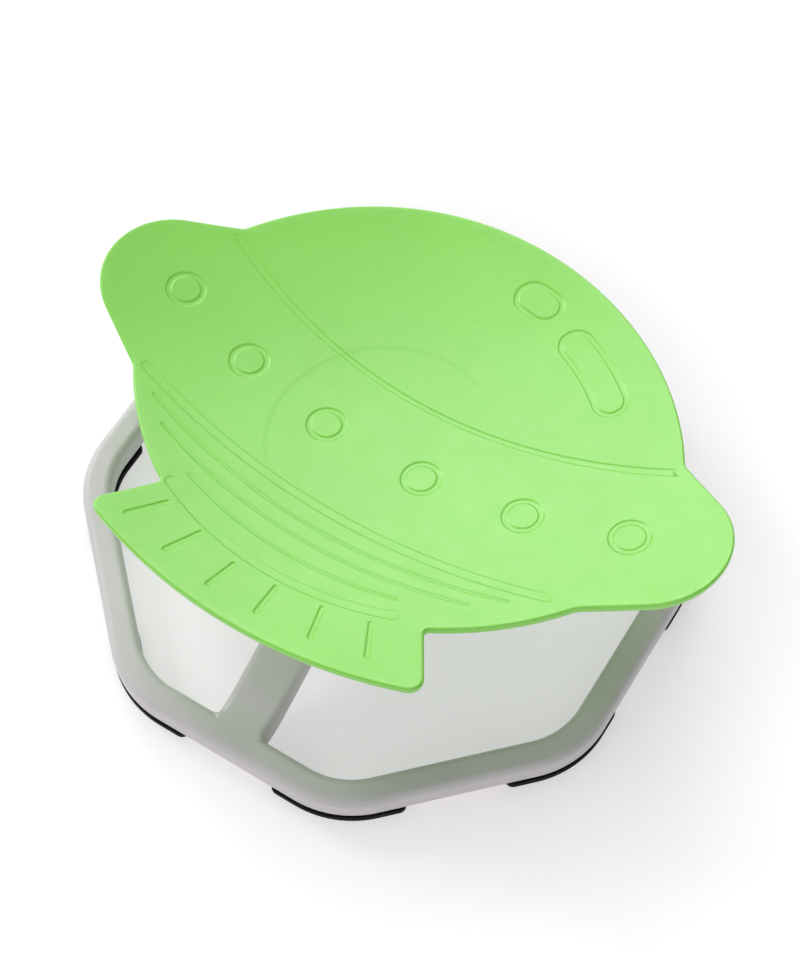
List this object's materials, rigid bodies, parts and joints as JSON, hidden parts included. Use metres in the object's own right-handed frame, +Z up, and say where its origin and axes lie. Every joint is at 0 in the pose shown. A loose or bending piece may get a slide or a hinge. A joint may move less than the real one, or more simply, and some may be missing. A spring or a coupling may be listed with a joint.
{
  "type": "toddler spinning seat",
  "caption": "Low spinning seat for toddlers: a dished saucer-shaped plastic seat turning on a leaning ball-bearing axle above an octagonal steel tube base with rubber corner strips.",
  "frame": {"origin": "on the floor at the middle of the octagonal base", "axes": "+Z up; +Y along the bridge bar, towards the bar end that the seat's dome points to at rest; +X to the right of it"},
  "size_m": [0.5304, 0.45, 0.1842],
  "materials": {
    "frame_coat": "satin powder coat",
    "seat_plastic": "satin moulded plastic with a fine grain",
    "foot_rubber": "matte",
    "bright_steel": "ground",
    "zinc_steel": "zinc plated",
    "dark_steel": "black oxide",
    "insert_brass": "turned",
    "cage_brass": "pressed"
  },
  "bodies": {
    "base": {"ring_tube": "frame_coat", "bridge_bar": "frame_coat", "axle_foot": "frame_coat", "axle": "bright_steel", "lower_bearing_inner": "bright_steel", "upper_bearing_inner": "bright_steel", "bearing_spacer": "bright_steel", "axle_washer": "zinc_steel", "axle_nut": "zinc_steel", "foot_pad_1": "foot_rubber", "foot_pad_2": "foot_rubber", "foot_pad_3": "foot_rubber", "foot_pad_4": "foot_rubber", "foot_pad_5": "foot_rubber", "foot_pad_6": "foot_rubber", "foot_pad_7": "foot_rubber", "foot_pad_8": "foot_rubber", "pad_screws": "dark_steel"},
    "seat": {"seat_shell": "seat_plastic", "seat_flange": "zinc_steel", "hub_sleeve": "zinc_steel", "outer_spacer": "bright_steel", "lower_bearing_outer": "bright_steel", "upper_bearing_outer": "bright_steel", "hub_circlip": "dark_steel", "seat_screws": "dark_steel", "seat_inserts": "insert_brass"},
    "lower_ball_set": {"lower_cage": "cage_brass", "lower_balls": "bright_steel"},
    "upper_ball_set": {"upper_cage": "cage_brass", "upper_balls": "bright_steel"}
  },
  "joints": [
    {"name": "seat_spin", "type": "hinge", "parent": "base", "child": "seat", "pos_m": [0, 0, 0.033], "axis": [-0.0923, 0.0923, 0.9914], "continuous": true},
    {"name": "lower_ball_roll", "type": "hinge", "parent": "base", "child": "lower_ball_set", "pos_m": [0, 0, 0.033], "axis": [-0.0923, 0.0923, 0.9914], "continuous": true},
    {"name": "upper_ball_roll", "type": "hinge", "parent": "base", "child": "upper_ball_set", "pos_m": [0, 0, 0.033], "axis": [-0.0923, 0.0923, 0.9914], "continuous": true}
  ],
  "couplings": [
    {"joint": "lower_ball_roll", "follows": "seat_spin", "ratio": 0.6158},
    {"joint": "upper_ball_roll", "follows": "seat_spin", "ratio": 0.6158}
  ]
}
